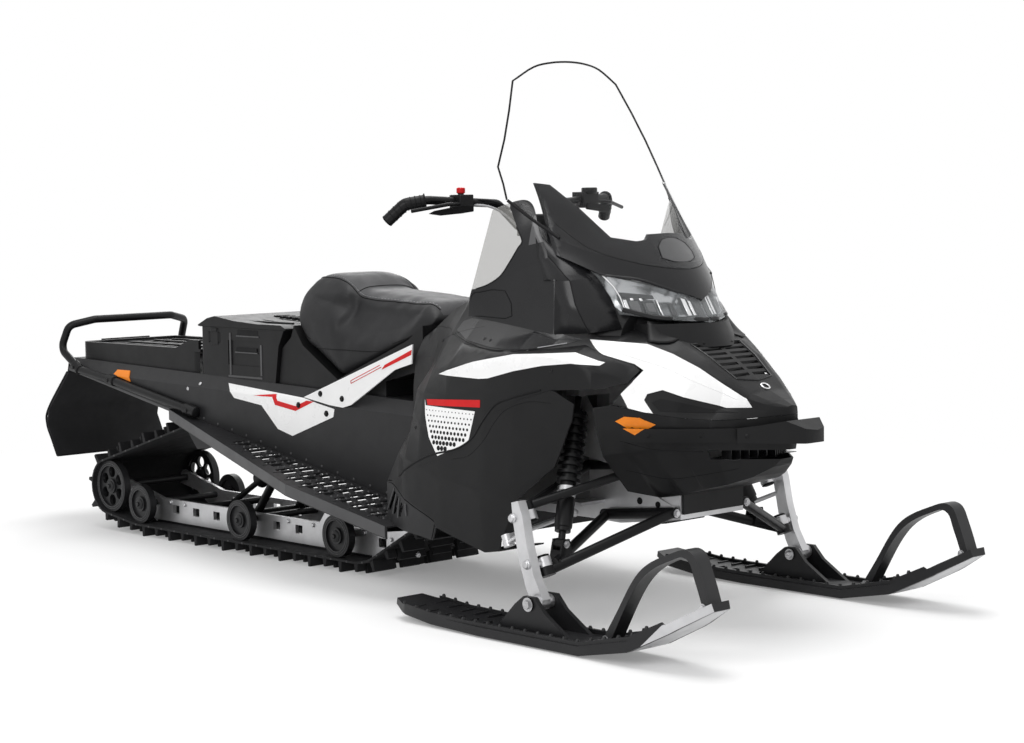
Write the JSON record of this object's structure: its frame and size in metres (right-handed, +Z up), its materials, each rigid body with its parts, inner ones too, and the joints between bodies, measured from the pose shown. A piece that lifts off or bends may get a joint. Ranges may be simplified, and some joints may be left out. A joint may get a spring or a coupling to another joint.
{
  "type": "utility snowmobile",
  "caption": "Utility snowmobile with steered skis, endless lugged track, tall windshield, seat, lidded cargo box and rear rack.",
  "frame": {"origin": "on the snow line under the middle of the machine's outline", "axes": "+X forward, +Y to the rider's left, +Z up"},
  "size_m": [3.245, 1.123, 1.4221],
  "materials": {
    "track_rubber": "matte",
    "wheel_black": "matte",
    "bare_aluminium": "satin",
    "black_steel": "satin",
    "dark_painted": "satin black paint",
    "black_plastic": "satin",
    "gloss_black": "gloss",
    "flap_rubber": "matte",
    "red_lens": "clear gloss",
    "seat_vinyl": "coated vinyl",
    "engine_metal": "matte",
    "clear_shield": "clear",
    "smoked_shield": "smoked",
    "white_plastic": "gloss",
    "ski_plastic": "satin",
    "strap_grey": "satin",
    "lamp_lens": "clear"
  },
  "bodies": {
    "chassis": {"track": "track_rubber", "bogie_wheels": "wheel_black", "idler_wheels": "wheel_black", "carrier_wheels": "wheel_black", "drive_axle": "wheel_black", "slide_rails": "bare_aluminium", "skid_arms": "black_steel", "tunnel": "dark_painted", "rear_bumper": "black_steel", "rear_rack": "black_plastic", "snow_flap": "flap_rubber", "tail_lamp": "red_lens", "hitch": "black_steel", "cargo_box": "black_plastic", "seat": "seat_vinyl", "seat_base": "black_plastic", "hood": "black_plastic", "console": "black_plastic", "belly_pan": "black_plastic", "front_bumper": "black_plastic", "engine": "engine_metal", "bulkhead": "bare_aluminium", "windshield": "clear_shield", "cowl": "gloss_black", "dash": "black_plastic", "lamp_housing": "black_plastic", "running_board_left": "dark_painted", "running_board_right": "dark_painted", "side_brace_left": "white_plastic", "side_brace_right": "white_plastic", "side_panel_left": "black_plastic", "side_panel_right": "black_plastic", "foot_panel_left": "black_plastic", "foot_panel_right": "black_plastic", "lower_arm_left": "black_steel", "lower_arm_right": "black_steel", "upper_arm_left": "black_steel", "upper_arm_right": "black_steel", "shock_left": "black_steel", "shock_right": "black_steel", "wing_left": "smoked_shield", "wing_right": "smoked_shield", "headlamp_left": "lamp_lens", "headlamp_right": "lamp_lens"},
    "steering": {"handlebar": "black_steel"},
    "lid": {"cargo_lid": "black_plastic"},
    "ski_group_left": {"spindle_left": "bare_aluminium", "ski_left": "ski_plastic", "ski_handle_left": "strap_grey"},
    "tie_rod_left": {"tie_rod_left": "bare_aluminium"},
    "ski_group_right": {"spindle_right": "bare_aluminium", "ski_right": "ski_plastic", "ski_handle_right": "strap_grey"},
    "tie_rod_right": {"tie_rod_right": "bare_aluminium"}
  },
  "joints": [
    {"name": "steering", "type": "hinge", "parent": "chassis", "child": "steering", "pos_m": [0.53, 0, 0.985], "axis": [-0.4819, 0, 0.8762], "range_deg": [-33, 33]},
    {"name": "lid_hinge", "type": "hinge", "parent": "chassis", "child": "lid", "pos_m": [-0.751, 0, 0.692], "axis": [0, -1, 0], "range_deg": [0, 95]},
    {"name": "kingpin_left", "type": "hinge", "parent": "chassis", "child": "ski_group_left", "pos_m": [1.022, 0.445, 0.17], "axis": [-0.4091, 0, 0.9125], "range_deg": [-28.55, 28.55]},
    {"name": "tie_rod_end_left", "type": "hinge", "parent": "ski_group_left", "child": "tie_rod_left", "pos_m": [0.89189, 0.445, 0.21578], "axis": [-0.4091, 0, 0.9125], "range_deg": [-28.55, 28.55]},
    {"name": "kingpin_right", "type": "hinge", "parent": "chassis", "child": "ski_group_right", "pos_m": [1.022, -0.445, 0.17], "axis": [-0.4091, 0, 0.9125], "range_deg": [-28.55, 28.55]},
    {"name": "tie_rod_end_right", "type": "hinge", "parent": "ski_group_right", "child": "tie_rod_right", "pos_m": [0.89189, -0.445, 0.21578], "axis": [-0.4091, 0, 0.9125], "range_deg": [-28.55, 28.55]}
  ],
  "couplings": [
    {"joint": "kingpin_left", "follows": "steering", "ratio": 0.85},
    {"joint": "tie_rod_end_left", "follows": "steering", "ratio": -0.85},
    {"joint": "kingpin_right", "follows": "steering", "ratio": 0.85},
    {"joint": "tie_rod_end_right", "follows": "steering", "ratio": -0.85}
  ]
}
